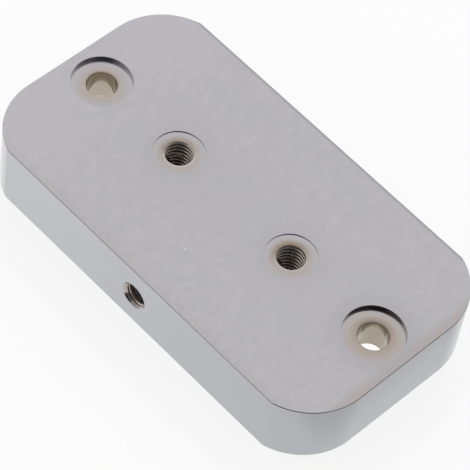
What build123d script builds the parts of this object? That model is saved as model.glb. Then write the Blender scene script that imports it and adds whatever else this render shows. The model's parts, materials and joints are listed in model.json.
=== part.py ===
"""Machined mounting block.

One plated metal block with rounded corners. Two screws pass through it near its ends, with their heads sunk
in the underside. Two tapped holes open on the top face between them, and one smaller tapped hole opens in the
middle of the front side. The bores of the tapped holes are drawn at the diameter that their threads leave.

Frame: millimetres, +X along the block, +Z up, origin at the centre of the underside.
"""

import os
from math import isclose, radians, tan

from build123d import *

os.makedirs("parts", exist_ok=True)

# Block
LENGTH = 69.85
WIDTH = 38.1
THICKNESS = 11.3
CORNER_RADIUS = 10.5
CORNER_TRIM = 0.48
EDGE_BREAK = 0.08

# Rounding of the bores' rims, where they open on the top side
RIM_ROUNDING = 0.24

# Screws that hold the block: number 8 pan head screws, heads below
SCREW_SPACING = 57.2
SCREW_DIAMETER = 4.166
SCREW_CLEARANCE = 0.434
HEAD_DIAMETER = 8.18
HEAD_CLEARANCE = 0.62
HEAD_BORE_DEPTH = 5.1
HEAD_BORE_BREAK = 0.2
SEAT_DIAMETER = 9.45
SEAT_DEPTH = 0.68

# Tapped holes in the top face: number 10, 32 threads to the inch
TAP_SPACING = 23.6
TAP_BORE = 4.17
TAP_DEPTH = 8.0
SPOTFACE_DIAMETER = 7.95
SPOTFACE_DEPTH = 0.15

# Tapped hole in the front side: number 8, 32 threads to the inch
SIDE_BORE = 3.5
SIDE_MOUTH = 4.67
SIDE_DEPTH = 12.7

# Tools
COUNTERSINK_ANGLE = 90
DRILL_POINT_ANGLE = 118

screw_bore = SCREW_DIAMETER + SCREW_CLEARANCE
head_bore = HEAD_DIAMETER + HEAD_CLEARANCE
seat_floor = THICKNESS - SEAT_DEPTH
spotface_floor = THICKNESS - SPOTFACE_DEPTH


def drill_point(diameter, depth):
    """Cut the drill point at the end of a blind bore of this diameter and depth, below the current locations."""
    point_height = diameter / 2 / tan(radians(DRILL_POINT_ANGLE / 2))
    with Locations((0, 0, -depth)):
        Cone(0, diameter / 2, point_height, align=(Align.CENTER, Align.CENTER, Align.MAX), mode=Mode.SUBTRACT)


def rims(part, diameter, height):
    """Return the part's circular edges of this diameter at this height."""
    circles = part.edges().filter_by(GeomType.CIRCLE)
    level = circles.filter_by(lambda edge: isclose(edge.arc_center.Z, height, abs_tol=0.001))
    return level.filter_by(lambda edge: isclose(edge.radius, diameter / 2, abs_tol=0.001))


with BuildPart() as mounting_block:
    # The long sides are trimmed after the corners are rounded, which leaves a faint upright line at each corner
    with BuildSketch():
        RectangleRounded(LENGTH, WIDTH + 2 * CORNER_TRIM, CORNER_RADIUS)
        Rectangle(LENGTH, WIDTH, mode=Mode.INTERSECT)
    extrude(amount=THICKNESS)
    outline_edges = mounting_block.edges().group_by(Axis.Z)
    chamfer(outline_edges[0] + outline_edges[-1], EDGE_BREAK)

    # Screw holes: a shallow seat on top, a clear bore, and a deep bore for the head from below
    with Locations(Plane.XY.offset(THICKNESS)):
        with GridLocations(SCREW_SPACING, 0, 2, 1):
            CounterBoreHole(screw_bore / 2, SEAT_DIAMETER / 2, SEAT_DEPTH)
    with Locations(Plane.XY.rotated((180, 0, 0))):
        with GridLocations(SCREW_SPACING, 0, 2, 1):
            Hole(head_bore / 2, HEAD_BORE_DEPTH)
    fillet(rims(mounting_block, screw_bore, seat_floor), RIM_ROUNDING)
    chamfer(rims(mounting_block, head_bore, 0), HEAD_BORE_BREAK)

    # Tapped holes in the top face, each in a very shallow spotface
    with Locations(Plane.XY.offset(THICKNESS)):
        with GridLocations(TAP_SPACING, 0, 2, 1):
            Hole(SPOTFACE_DIAMETER / 2, SPOTFACE_DEPTH)
    with Locations(Plane.XY.offset(spotface_floor)):
        with GridLocations(TAP_SPACING, 0, 2, 1):
            Hole(TAP_BORE / 2, TAP_DEPTH)
            drill_point(TAP_BORE, TAP_DEPTH)
    fillet(rims(mounting_block, TAP_BORE, spotface_floor), RIM_ROUNDING)

    # Tapped hole in the front side, at half the height
    with Locations(Plane((0, -WIDTH / 2, THICKNESS / 2), x_dir=(1, 0, 0), z_dir=(0, -1, 0))):
        CounterSinkHole(SIDE_BORE / 2, SIDE_MOUTH / 2, SIDE_DEPTH, COUNTERSINK_ANGLE)
        drill_point(SIDE_BORE, SIDE_DEPTH)

mounting_block.part.label = "mounting_block"
export_step(mounting_block.part, "parts/mounting_block.step")
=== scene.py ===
"""Machined mounting block: cut threads, plated finishes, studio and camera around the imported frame."""

import json
from math import cos, pi, radians, sin, tan

import bmesh
import bpy
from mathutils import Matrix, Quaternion, Vector


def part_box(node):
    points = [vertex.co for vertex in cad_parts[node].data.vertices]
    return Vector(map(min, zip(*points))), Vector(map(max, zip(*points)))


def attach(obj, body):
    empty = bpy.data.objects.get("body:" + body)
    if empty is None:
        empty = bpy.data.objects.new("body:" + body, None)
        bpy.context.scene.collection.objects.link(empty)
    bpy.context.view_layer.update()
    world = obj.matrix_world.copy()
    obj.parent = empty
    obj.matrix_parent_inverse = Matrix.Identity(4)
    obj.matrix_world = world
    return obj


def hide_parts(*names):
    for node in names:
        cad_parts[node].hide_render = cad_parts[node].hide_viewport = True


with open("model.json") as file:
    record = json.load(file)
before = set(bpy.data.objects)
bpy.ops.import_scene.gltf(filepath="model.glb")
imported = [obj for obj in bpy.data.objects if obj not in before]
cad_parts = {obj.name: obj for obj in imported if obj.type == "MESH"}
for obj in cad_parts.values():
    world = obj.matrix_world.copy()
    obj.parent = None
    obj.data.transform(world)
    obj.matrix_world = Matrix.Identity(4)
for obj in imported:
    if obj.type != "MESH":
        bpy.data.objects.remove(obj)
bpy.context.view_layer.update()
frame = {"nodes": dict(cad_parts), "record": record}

MM = 0.001
NODE = "mounting_block"
mounts = {mount["name"]: mount for mount in frame["record"]["mounts"]}
low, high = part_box(NODE)
TOP = high.z

# The holes' axes, radii and levels
SCREW_AXIS = mounts["screw_holes"]["dims"]["spacing_x_mm"] / 2 * MM
SCREW_BORE = mounts["screw_holes"]["dims"]["hole_r_mm"] * MM
SEAT = 4.725 * MM
SEAT_FLOOR = TOP - 0.68 * MM
TAP_AXIS = mounts["tapped_hole_right"]["pos_m"][0]
TAP_RIM = 2.1 * MM
SIDE_HOLE_LEVEL = mounts["side_tapped_hole"]["pos_m"][2]

# Threads: 32 to the inch, number 10 in the top face and number 8 in the front side
PITCH = 25.4 * MM / 32
THREAD_COLUMNS = 72
GROOVE_HALF_ANGLE = 30
ROOT_HALF_WIDTH = PITCH / 40
# How far the tap's core lies inside the bore, and how far before the bore's end the groove fades and ends
CORE_INSET = 0.12 * MM
FADE_FROM, FADE_TO = 2.2 * PITCH, 0.8 * PITCH
# Groove radius, and where the groove begins: level above the mouth, angle round the axis, fade-in in turns
THREADS = {
    "tapped_hole_left": (2.413 * MM, 0.24 * MM, 223.0, 0.10),
    "tapped_hole_right": (2.413 * MM, -0.335 * MM, 148.0, 0.10),
    "side_tapped_hole": (2.083 * MM, 0.62 * PITCH, 0.0, 0.05),
}

# Finishes: chrome is grey, and nickel shows warm through it where the chrome is thin
CHROME_TOP = (0.505, 0.493, 0.523)
CHROME_TOP_COOL = (0.498, 0.491, 0.527)
CHROME_WORN = (0.475, 0.432, 0.415)
CHROME_SIDE = (0.508, 0.517, 0.546)
# CHROME_LIT is a painted highlight on the fronts of the recess rims
CHROME_LIT = (0.64, 0.61, 0.59)
NICKEL_PALE = (0.48, 0.42, 0.385)
NICKEL_DEEP = (0.42, 0.375, 0.305)
# Near-white tone for a painted reflection, a pale patch low in each head bore
NICKEL_PAINTED_REFLECTION = (0.99, 0.985, 0.965)
THREAD_TONES = (0.46, 0.4, 0.37), (0.53, 0.465, 0.43)
# The crests' darker tones are painted shade, not a difference in plating
CREST_SHADE_TONES = (0.28, 0.215, 0.185), (0.34, 0.265, 0.23)
# Brown for the recess rims: partly staining all round, partly painted shade on their far sides
STAIN_AND_SHADE = (0.30, 0.235, 0.19)
# Dark tone for a painted shade in the right seat's back corner
CORNER_SHADE_PAINT = (0.05, 0.045, 0.045)
FLOOR_PAINT = (0.8, 0.8, 0.8)
BLACK, WHITE = (0, 0, 0), (1, 1, 1)
BUMP_DEPTH = 0.02 * MM
WAVE_DEPTH = 0.3 * MM

# Directions seen from a hole's axis
BACK_LEFT = (-0.62, 0.785, 0)
LEFT = (-0.89, 0.456, 0)

# Recesses: what the seats share, what the spotfaces share, and what is each one's own, as recess() takes them
SEATS = {"axis_x": SCREW_AXIS, "rim": SCREW_BORE, "rim_metallic": 0.4, "stain_and_shade_side": BACK_LEFT}
SPOTFACES = {
    "axis_x": TAP_AXIS,
    "rim": TAP_RIM,
    "rim_metallic": 0.88,
    "stain_and_shade_side": LEFT,
    "outer": 4.6 * MM,
    "warmth": 0.85,
}
RECESSES = {
    "seat_left": {"outer": 4.9 * MM, "warmth": 1.0, "stain_and_shade_reach": 3.1 * MM, "shares": (0.3, 0.6)},
    "seat_right": {
        "outer": 6.6 * MM,
        "warmth": 1.1,
        "stain_and_shade_reach": 3.5 * MM,
        "shares": (0.55, 1.0),
        # Width of the painted shade in the back corner
        "corner": 0.52 * MM,
    },
    "spotface_left": {"stain_and_shade_reach": 3.3 * MM, "shares": (0.0, 0.8), "lit": 0.55},
    "spotface_right": {"stain_and_shade_reach": 3.4 * MM, "shares": (0.1, 1.0), "lit": 0.35},
}

# Small marks on the top face: place and radius in millimetres, and how much lighter or darker
MARKS = [
    ((1.2, -10.85), 0.16, 1.25),
    ((-22.6, -11.6), 0.12, 0.85),
    ((-13.9, -1.7), 0.12, 0.85),
]

# Zones of faces, sorted by their centres. Reach of each zone from its axis, a little past what it takes in
THREAD_REACH = 2.45 * MM
SIDE_THREAD_REACH = 2.2 * MM
HEAD_BORE_REACH = 4.5 * MM
SPOTFACE_REACH = 4.0 * MM
SEAT_REACH = 4.8 * MM
# Levels between zones: under the spotfaces' rims, among the head bores' chamfers and just under the top face
THREADS_BELOW = TOP - 0.4 * MM
BORES_ABOVE = 0.15 * MM
RECESSES_BELOW = TOP - 0.01 * MM
# A normal's share along an axis, at least for a tilted or flat face, and at most for a thread's crest
TILTED, CREST, FLAT = 0.2, 0.3, 0.9
# Degrees between two faces, from which their edge is sharp
SHARP = 28

# Floor: its size, and how far its own glow hides the shadows on it from the camera
FLOOR_SIZE = 4
FLOOR_GLOW = 0.85

# Camera: degrees, with azimuth 0 at the front and growing towards the right end
AZIMUTH, ELEVATION, ROLL = 38.39, 54.43, -10.17
DISTANCE = 390.56 * MM
TARGET = Vector((3.98 * MM, -3.67 * MM, TOP))
LENS_MM, SENSOR_MM = 210.07, 36


# Shader nodes


class Nodes:
    """Short calls for the node tree of one material or world."""

    def __init__(self, owner):
        owner.use_nodes = True
        self.tree = owner.node_tree
        self.tree.nodes.clear()

    def add(self, kind, inputs=None, **settings):
        """A node with its settings, and its inputs set or linked by name or number."""
        node = self.tree.nodes.new(kind)
        for name, value in settings.items():
            setattr(node, name, value)
        for name, value in (inputs or {}).items():
            if isinstance(value, bpy.types.NodeSocket):
                self.tree.links.new(value, node.inputs[name])
            else:
                node.inputs[name].default_value = value
        return node

    def math(self, operation, *values):
        return self.add("ShaderNodeMath", dict(enumerate(values)), operation=operation).outputs[0]

    def vector_math(self, operation, *values):
        return self.add("ShaderNodeVectorMath", dict(enumerate(values)), operation=operation).outputs

    def span(self, value, low_end, high_end, to_low=0.0, to_high=1.0):
        """value's place between two ends, smoothed and held inside them."""
        ends = {"From Min": low_end, "From Max": high_end, "To Min": to_low, "To Max": to_high}
        node = self.add("ShaderNodeMapRange", {"Value": value, **ends}, interpolation_type="SMOOTHSTEP")
        return node.outputs["Result"]

    def mix(self, share, first, second):
        """Colour between two colours."""
        node = self.add("ShaderNodeMix", data_type="RGBA")
        sockets = [node.inputs["Factor"]] + [s for s in node.inputs if s.type == "RGBA"]
        for socket, value in zip(sockets, (share, first, second)):
            if isinstance(value, bpy.types.NodeSocket):
                self.tree.links.new(value, socket)
            else:
                socket.default_value = value if socket.type == "VALUE" else (*value, 1)
        return next(s for s in node.outputs if s.type == "RGBA")

    def noise(self, place, size, detail=3.0, rough=0.5):
        """Noise whose lumps are about size metres across."""
        inputs = {"Vector": place, "Scale": 1 / size, "Detail": detail, "Roughness": rough}
        return self.add("ShaderNodeTexNoise", inputs).outputs["Fac"]

    def stretch(self, place, scale):
        return self.add("ShaderNodeMapping", {"Vector": place, "Scale": scale}).outputs[0]

    def split(self, vector):
        return self.add("ShaderNodeSeparateXYZ", {0: vector}).outputs

    def offset(self, place, axis_x):
        """Place seen from the nearer of two upright axes, at x = axis_x and x = -axis_x."""
        parts = self.split(place)
        axis = self.math("MULTIPLY", self.math("SIGN", parts["X"]), axis_x)
        across = self.math("SUBTRACT", parts["X"], axis)
        return self.add("ShaderNodeCombineXYZ", {"X": across, "Y": parts["Y"]}).outputs[0]

    def length(self, vector):
        return self.vector_math("LENGTH", vector)["Value"]

    def distance(self, place, point):
        return self.vector_math("DISTANCE", place, point)["Value"]

    def along(self, vector, aim):
        """The cosine between a vector and a direction."""
        return self.vector_math("DOT_PRODUCT", self.vector_math("NORMALIZE", vector)[0], aim)["Value"]

    def metal(self, colour, roughness, bump=None, strength=0.0, depth=BUMP_DEPTH, metallic=1.0):
        """Principled metal to the material output."""
        inputs = {"Base Color": colour, "Roughness": roughness, "Metallic": metallic}
        shader = self.add("ShaderNodeBsdfPrincipled", inputs)
        if bump is not None:
            inputs = {"Height": bump, "Strength": strength, "Distance": depth}
            normal = self.add("ShaderNodeBump", inputs).outputs["Normal"]
            self.tree.links.new(normal, shader.inputs["Normal"])
        self.add("ShaderNodeOutputMaterial", {"Surface": shader.outputs[0]})


def new_material(name):
    material = bpy.data.materials.new(name)
    nodes = Nodes(material)
    return material, nodes, nodes.add("ShaderNodeTexCoord").outputs["Object"]


def toned(colour, factor):
    """A colour made lighter or darker."""
    return tuple(part * factor for part in colour)


# Finishes


def satin_top():
    """Satin chrome with a fine mottle, paler towards its left end and long edges.

    It is warmer by its front and right edges, and darker by its back edge, its right seat and its taps.
    """
    material, nodes, place = new_material("chrome_top")
    parts = nodes.split(place)
    cloud = nodes.noise(place, 11 * MM, detail=2.0)
    streak = nodes.noise(nodes.stretch(place, (1, 0.6, 1)), 1.6 * MM, detail=4.0, rough=0.6)
    grain = nodes.noise(place, 0.5 * MM, detail=4.0, rough=0.6)

    left_end = nodes.span(parts["X"], -30 * MM, -14 * MM, 0.75, 0.0)
    long_edges = nodes.span(nodes.math("ABSOLUTE", parts["Y"]), 2 * MM, 12 * MM, 0.0, 0.4)
    coarse, fine = nodes.span(streak, 0.25, 0.75, -0.6, 0.6), nodes.span(grain, 0.3, 0.7, -0.5, 0.5)
    mottle = nodes.math("ADD", coarse, fine)
    lift = nodes.math("ADD", nodes.math("ADD", left_end, long_edges), mottle)
    tone = nodes.mix(nodes.span(cloud, 0.35, 0.65), CHROME_TOP, CHROME_TOP_COOL)
    tone = nodes.mix(lift, tone, toned(CHROME_TOP, 1.07))

    front_edge = nodes.span(parts["Y"], -16.5 * MM, -19 * MM, 0.0, 0.3)
    right_edge = nodes.span(parts["X"], 32.5 * MM, 34.5 * MM, 0.0, 0.9)
    tone = nodes.mix(nodes.math("MAXIMUM", front_edge, right_edge), tone, CHROME_WORN)
    back_edge = nodes.span(parts["Y"], 18.4 * MM, 18.9 * MM, 0.0, 0.8)
    tone = nodes.mix(back_edge, tone, toned(CHROME_TOP, 0.7))

    round_right_seat = nodes.span(nodes.distance(place, (SCREW_AXIS, 0, TOP)), 5 * MM, 8 * MM, 0.35, 0.0)
    round_taps = nodes.span(nodes.length(nodes.offset(place, TAP_AXIS)), 4 * MM, 7 * MM, 0.2, 0.0)
    tone = nodes.mix(nodes.math("MAXIMUM", round_right_seat, round_taps), tone, toned(CHROME_TOP, 0.84))
    for (x, y), radius, factor in MARKS:
        from_mark = nodes.distance(place, (x * MM, y * MM, TOP))
        spot = nodes.span(from_mark, radius * MM, radius * 1.6 * MM, 1.0, 0.0)
        tone = nodes.mix(spot, tone, toned(CHROME_TOP, factor))
    nodes.metal(tone, nodes.span(grain, 0.3, 0.7, 0.28, 0.32), grain, 0.04)
    return material


def smooth_side():
    """Brighter chrome on the sides, with faint waves."""
    material, nodes, place = new_material("chrome_side")
    wave = nodes.noise(place, 14 * MM, detail=2.0)
    tone = nodes.mix(nodes.span(wave, 0.35, 0.65), toned(CHROME_SIDE, 0.975), CHROME_SIDE)
    roughness = nodes.span(nodes.noise(place, 2 * MM), 0.3, 0.7, 0.12, 0.18)
    nodes.metal(tone, roughness, wave, 0.04, WAVE_DEPTH)
    return material


def sharp_edge():
    """Polished chrome on the broken edges."""
    material, nodes, _ = new_material("chrome_edge")
    nodes.metal((*CHROME_SIDE, 1), 0.0)
    return material


def recess(name, axis_x, rim, rim_metallic, stain_and_shade_side, outer, warmth, stain_and_shade_reach, shares, lit=0.0, corner=0.0):
    """The floor of a recess: warm nickel by its bore, turning to grey chrome from there to the radius outer.

    A brown tone, partly staining and partly painted shade, reaches from the rim out to a given radius, with
    shares for the side away from a given side and for that side; its extra darkness on that side is painted
    shade. The front of the rim carries a painted highlight, as strong as lit. A painted shade, a dark
    crescent in the back corner, is as wide as corner.
    """
    material, nodes, place = new_material(name)
    grain = nodes.noise(place, 0.8 * MM)
    offset = nodes.offset(place, axis_x)
    far, back = nodes.length(offset), nodes.along(offset, BACK_LEFT)

    reach = nodes.math("ADD", far, nodes.span(grain, 0.3, 0.7, -0.2 * MM, 0.2 * MM))
    reach = nodes.math("ADD", reach, nodes.span(back, -1.0, 1.0, 0.0, 0.5 * MM))
    tone = nodes.mix(nodes.span(reach, rim + 0.3 * MM, outer, warmth, 0.0), CHROME_TOP, NICKEL_PALE)
    # The brown is partly staining and partly painted shade, heavier on the far side
    side_share = nodes.span(nodes.along(offset, stain_and_shade_side), -0.6, 0.8, *shares)
    brown = nodes.math("MULTIPLY", nodes.span(far, rim, stain_and_shade_reach, 1.0, 0.0), side_share)
    tone = nodes.mix(brown, tone, STAIN_AND_SHADE)

    # Painted highlight on the front of the rim
    by_rim = nodes.span(far, rim + 0.2 * MM, rim + 0.5 * MM, 1.0, 0.0)
    front_of_rim = nodes.math("MULTIPLY", by_rim, nodes.span(back, 0.1, -0.5, 0.0, lit))
    tone = nodes.mix(front_of_rim, tone, CHROME_LIT)
    # Painted shade: a dark crescent in the back corner of the recess, by its floor
    if corner:
        crescent = nodes.math("ADD", far, nodes.span(back, 0.4, 1.0, 0.0, corner))
        foot = nodes.span(nodes.split(place)["Z"], SEAT_FLOOR + 0.02 * MM, SEAT_FLOOR + 0.1 * MM, 0.75, 0.0)
        painted_shade = nodes.math("MULTIPLY", nodes.span(crescent, SEAT - 0.02 * MM, SEAT + 0.06 * MM), foot)
        tone = nodes.mix(painted_shade, tone, CORNER_SHADE_PAINT)
    metallic = nodes.span(far, rim + 0.4 * MM, rim + 0.8 * MM, rim_metallic, 1.0)
    nodes.metal(tone, nodes.span(grain, 0.3, 0.7, 0.2, 0.26), grain, 0.05, metallic=metallic)
    return material


def nickel_bore():
    """Plated drilled wall, darker in the right bore.

    A painted reflection, a near-white patch, lies low at the back left of each head bore, and it is bright in
    the right one.
    """
    material, nodes, place = new_material("nickel_bore")
    parts = nodes.split(place)
    grain = nodes.noise(nodes.stretch(place, (1, 1, 3)), 0.6 * MM)
    tone = nodes.mix(nodes.span(grain, 0.3, 0.7), toned(NICKEL_DEEP, 0.94), NICKEL_DEEP)
    right = nodes.span(parts["X"], -20 * MM, 20 * MM)
    tone = nodes.mix(right, tone, toned(NICKEL_DEEP, 0.86))

    # Painted reflection: a near-white patch low at the back left of the head bores
    low_part = nodes.span(parts["Z"], 2.3 * MM, 2.5 * MM, 1.0, 0.0)
    back_part = nodes.span(nodes.along(nodes.offset(place, SCREW_AXIS), BACK_LEFT), 0.4, 0.6)
    reflection_strength = nodes.span(parts["X"], -20 * MM, 20 * MM, 0.16, 1.0)
    painted_reflection = nodes.math("MULTIPLY", nodes.math("MULTIPLY", low_part, back_part), reflection_strength)
    nodes.metal(nodes.mix(painted_reflection, tone, NICKEL_PAINTED_REFLECTION), 0.1, grain, 0.04)
    return material


def thread_metal(name, darker, lighter):
    """Plated thread, between two tones."""
    material, nodes, place = new_material(name)
    grain = nodes.noise(place, 0.5 * MM, detail=2.0)
    tone = nodes.mix(nodes.span(grain, 0.3, 0.7), darker, lighter)
    nodes.metal(tone, 0.0, grain, 0.02, metallic=0.75)
    return material


def all_finishes():
    """Each zone's material."""
    finishes = {"top": satin_top(), "side": smooth_side(), "edge": sharp_edge()}
    for name, own in RECESSES.items():
        shared = SEATS if name.startswith("seat") else SPOTFACES
        finishes[name] = recess("recess_" + name, **shared, **own)
    finishes["bore"] = nickel_bore()
    finishes["thread"] = thread_metal("nickel_thread", *THREAD_TONES)
    # The crests take a darker tone as painted shade
    finishes["crest"] = thread_metal("nickel_crest_painted_shade", *CREST_SHADE_TONES)
    return finishes


# Threads


def tap_mesh(bore, major, length, start, angle, fade):
    """A closed tap: a groove's form wound down -Z, deepening at its start and fading out at its end."""
    core = bore - CORE_INSET
    open_half = ROOT_HALF_WIDTH + (major - core) * tan(radians(GROOVE_HALF_ANGLE))
    profile = [(-open_half, core), (-ROOT_HALF_WIDTH, major), (ROOT_HALF_WIDTH, major), (open_half, core)]
    full_to, end = FADE_FROM - length, FADE_TO - length
    steps = int((start - end) / PITCH * THREAD_COLUMNS)
    mesh = bmesh.new()
    thread = []
    for step in range(steps + 1):
        turn = step / THREAD_COLUMNS
        level = start - PITCH * turn
        way = radians(angle) - 2 * pi * turn
        share = min(max((level - end) / (full_to - end), 0), 1) * min(turn / fade, 1)
        column = []
        for rise, radius in profile:
            r = core + (radius - core) * share
            column.append(mesh.verts.new((r * cos(way), r * sin(way), level + rise)))
        thread.append(column)
    for step in range(steps):
        here, ahead = thread[step], thread[step + 1]
        for i in range(len(profile) - 1):
            mesh.faces.new((here[i], ahead[i], ahead[i + 1], here[i + 1]))
        if step + THREAD_COLUMNS < steps:
            below, below_ahead = thread[step + THREAD_COLUMNS], thread[step + THREAD_COLUMNS + 1]
            mesh.faces.new((here[0], below[-1], below_ahead[-1], ahead[0]))
    tip, tail = mesh.verts.new((0, 0, start)), mesh.verts.new((0, 0, end))
    for edge in [e for e in mesh.edges if e.is_boundary]:
        a, b = edge.verts
        mesh.faces.new((a, b, tip if a.co.z + b.co.z > start + end else tail))
    bmesh.ops.recalc_face_normals(mesh, faces=mesh.faces)
    return mesh


def tap(name):
    """The tap for a mount, at its mouth and along its axis."""
    mount = mounts[name]
    axis = Vector(mount["axis"])
    bore, length = mount["dims"]["r_mm"] * MM, mount["dims"]["length_mm"] * MM
    mesh = bpy.data.meshes.new(name)
    major, start, angle, fade = THREADS[name]
    form = tap_mesh(bore, major, length, start, angle, fade)
    form.to_mesh(mesh)
    form.free()
    cutter = bpy.data.objects.new("tap_" + name, mesh)
    bpy.context.scene.collection.objects.link(cutter)
    mouth = high if axis.z > 0.5 else low
    along = max(range(3), key=lambda i: abs(axis[i]))
    cutter.location = mount["pos_m"]
    cutter.location[along] = mouth[along]
    cutter.rotation_mode = "QUATERNION"
    cutter.rotation_quaternion = axis.to_track_quat("Z", "Y")
    return cutter


# The block


def merged_copy(node):
    """A copy of a CAD node's mesh with its split corners joined."""
    mesh = frame["nodes"][node].data.copy()
    form = bmesh.new()
    form.from_mesh(mesh)
    bmesh.ops.remove_doubles(form, verts=form.verts, dist=1e-7)
    form.to_mesh(mesh)
    form.free()
    piece = bpy.data.objects.new("plated_block", mesh)
    bpy.context.scene.collection.objects.link(piece)
    return piece


def settle(piece):
    """Replace a piece's mesh by what its modifiers make of it."""
    graph = bpy.context.evaluated_depsgraph_get()
    mesh = bpy.data.meshes.new_from_object(piece.evaluated_get(graph))
    piece.modifiers.clear()
    piece.data = mesh


def cut_threads(piece):
    for name in THREADS:
        cutter = tap(name)
        cut = piece.modifiers.new(name, "BOOLEAN")
        cut.operation = "DIFFERENCE"
        cut.solver = "EXACT"
        cut.object = cutter
        settle(piece)
        bpy.data.objects.remove(cutter)


def zone(face):
    """Which finish a face takes."""
    place, normal = face.calc_center_median(), face.normal
    side = "left" if place.x < 0 else "right"
    from_screw = Vector((abs(place.x) - SCREW_AXIS, place.y)).length
    from_tap = Vector((abs(place.x) - TAP_AXIS, place.y)).length
    from_side_hole = Vector((place.x, place.z - SIDE_HOLE_LEVEL)).length
    if from_tap < THREAD_REACH and place.z < THREADS_BELOW:
        return "crest" if abs(normal.z) < CREST else "thread"
    if from_side_hole < SIDE_THREAD_REACH and place.y < 0 and abs(normal.y) < FLAT:
        return "thread"
    in_head_bore = from_screw < HEAD_BORE_REACH and BORES_ABOVE < place.z < TOP / 2
    if from_screw < SCREW_BORE + 0.02 * MM or in_head_bore:
        return "bore"
    if from_tap < SPOTFACE_REACH and place.z < RECESSES_BELOW:
        return "spotface_" + side
    if from_screw < SEAT_REACH and TOP / 2 < place.z < RECESSES_BELOW:
        return "seat_" + side
    if abs(normal.z) > FLAT:
        return "top"
    return "edge" if abs(normal.z) > TILTED else "side"


def finish_block(piece):
    finishes = all_finishes()
    order = list(finishes)
    piece.data.materials.clear()
    for material in finishes.values():
        piece.data.materials.append(material)
    form = bmesh.new()
    form.from_mesh(piece.data)
    for face in form.faces:
        face.material_index = order.index(zone(face))
        face.smooth = True
    for edge in form.edges:
        edge.smooth = len(edge.link_faces) == 2 and edge.calc_face_angle(0) < radians(SHARP)
    form.to_mesh(piece.data)
    form.free()
    weighted = piece.modifiers.new("flat faces stay flat", "WEIGHTED_NORMAL")
    weighted.keep_sharp = True
    settle(piece)


def block():
    piece = merged_copy(NODE)
    cut_threads(piece)
    finish_block(piece)
    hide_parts(NODE)
    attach(piece, "root")


# Studio


def floor():
    """Pale floor. The camera sees it plain, and reflections see it dimmer towards the right and the front.

    Inside the screw holes, reflections see it plain too.
    """
    bpy.ops.mesh.primitive_plane_add(size=FLOOR_SIZE, location=(0, 0, low.z))
    plane = bpy.context.object
    plane.name = "floor"
    material, nodes, place = new_material("white_floor")
    parts = nodes.split(place)
    to_right = nodes.span(parts["X"], -40 * MM, 30 * MM, 1.0, 0.87)
    by_end = nodes.span(parts["X"], 33 * MM, 41 * MM, 1.0, 0.8)
    to_front = nodes.span(parts["Y"], -40 * MM, -65 * MM, 1.0, 0.2)
    sideways = nodes.math("MULTIPLY", to_right, by_end)
    from_screw = nodes.length(nodes.offset(place, SCREW_AXIS))
    outside_screw_holes = nodes.span(from_screw, 5 * MM, 6 * MM, 1.0, sideways)
    dim = nodes.math("MULTIPLY", outside_screw_holes, to_front)
    path = nodes.add("ShaderNodeLightPath").outputs
    glow = nodes.mix(path["Is Camera Ray"], nodes.mix(dim, BLACK, WHITE), WHITE)
    reflected = nodes.math("MAXIMUM", path["Is Glossy Ray"], path["Is Transmission Ray"])
    share = nodes.math("MAXIMUM", nodes.math("MULTIPLY", path["Is Camera Ray"], FLOOR_GLOW), reflected)
    paint = nodes.add("ShaderNodeBsdfDiffuse", {"Color": (*FLOOR_PAINT, 1)})
    shine = nodes.add("ShaderNodeEmission", {"Color": glow, "Strength": 1.0})
    surface = nodes.add("ShaderNodeMixShader", {0: share, 1: paint.outputs[0], 2: shine.outputs[0]})
    nodes.add("ShaderNodeOutputMaterial", {"Surface": surface.outputs[0]})
    plane.data.materials.append(material)


def direction(azimuth, elevation):
    """Unit vector towards an azimuth and elevation in degrees."""
    a, e = radians(azimuth), radians(elevation)
    return Vector((sin(a) * cos(e), -cos(a) * cos(e), sin(e)))


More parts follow.
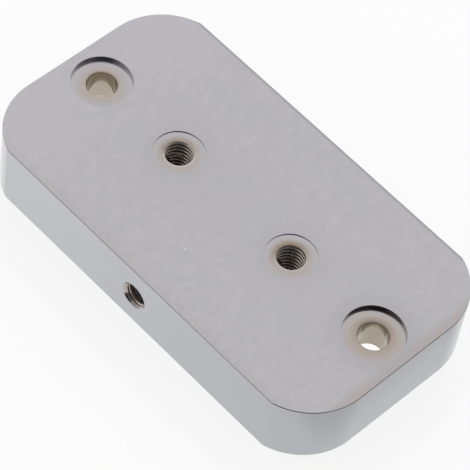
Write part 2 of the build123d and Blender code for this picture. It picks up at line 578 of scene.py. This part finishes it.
def surroundings():
    """The camera sees plain white, and satin surfaces see a pale studio, a little darker to the right.

    Sharp surfaces, and reflections of reflections, see it dark to the right, in front and round the camera.
    """
    world = bpy.data.worlds.new("studio")
    bpy.context.scene.world = world
    nodes = Nodes(world)
    way = nodes.add("ShaderNodeTexCoord").outputs["Generated"]

    def toward(azimuth, elevation):
        """The cosine between a ray and a direction."""
        return nodes.vector_math("DOT_PRODUCT", way, direction(azimuth, elevation))["Value"]

    to_right = toward(75, 20)
    pale = nodes.span(to_right, 0.0, 1.0, 0.92, 0.62)
    right = nodes.span(to_right, 0.0, 0.75, 0.92, 0.17)
    front = nodes.span(toward(0, 12), 0.3, 0.9, 0.92, 0.4)
    lens = nodes.span(toward(AZIMUTH, ELEVATION), cos(radians(32)), cos(radians(6)), 1.0, 0.44)
    below_lens = nodes.span(toward(32, 22), cos(radians(45)), cos(radians(28)), 1.0, 0.08)
    outer, inner = nodes.math("MINIMUM", right, front), nodes.math("MINIMUM", lens, below_lens)
    dark = nodes.math("MULTIPLY", outer, inner)

    # A surface's first reflection meets the world at a ray depth of 2
    path = nodes.add("ShaderNodeLightPath").outputs
    again = nodes.math("GREATER_THAN", path["Ray Depth"], 2.5)
    sharp_or_again = nodes.math("MAXIMUM", again, path["Is Singular Ray"])
    light = nodes.mix(sharp_or_again, nodes.mix(pale, BLACK, WHITE), nodes.mix(dark, BLACK, WHITE))
    colour = nodes.mix(path["Is Camera Ray"], light, WHITE)
    background = nodes.add("ShaderNodeBackground", {"Color": colour, "Strength": 1.0})
    nodes.add("ShaderNodeOutputWorld", {"Surface": background.outputs[0]})


def softbox(name, place, size, power):
    """A round lamp that shines towards the block and isn't seen itself."""
    lamp = bpy.data.lights.new(name, "AREA")
    lamp.shape = "DISK"
    lamp.size = size
    lamp.energy = power
    item = bpy.data.objects.new(name, lamp)
    item.location = place
    item.rotation_mode = "QUATERNION"
    item.rotation_quaternion = Vector(place).to_track_quat("Z", "Y")
    item.visible_camera = False
    item.visible_glossy = False
    bpy.context.scene.collection.objects.link(item)


def camera():
    view = bpy.data.cameras.new("camera")
    view.lens = LENS_MM
    view.sensor_width = SENSOR_MM
    view.clip_start = 0.01
    item = bpy.data.objects.new("camera", view)
    away = direction(AZIMUTH, ELEVATION)
    item.location = TARGET + away * DISTANCE
    item.rotation_mode = "QUATERNION"
    item.rotation_quaternion = away.to_track_quat("Z", "Y") @ Quaternion((0, 0, 1), radians(-ROLL))
    bpy.context.scene.collection.objects.link(item)
    bpy.context.scene.camera = item


block()
floor()
surroundings()
softbox("softbox_back", place=(-0.35, 0.45, 0.6), size=0.5, power=2.0)
camera()
bpy.context.scene.view_settings.view_transform = "Standard"
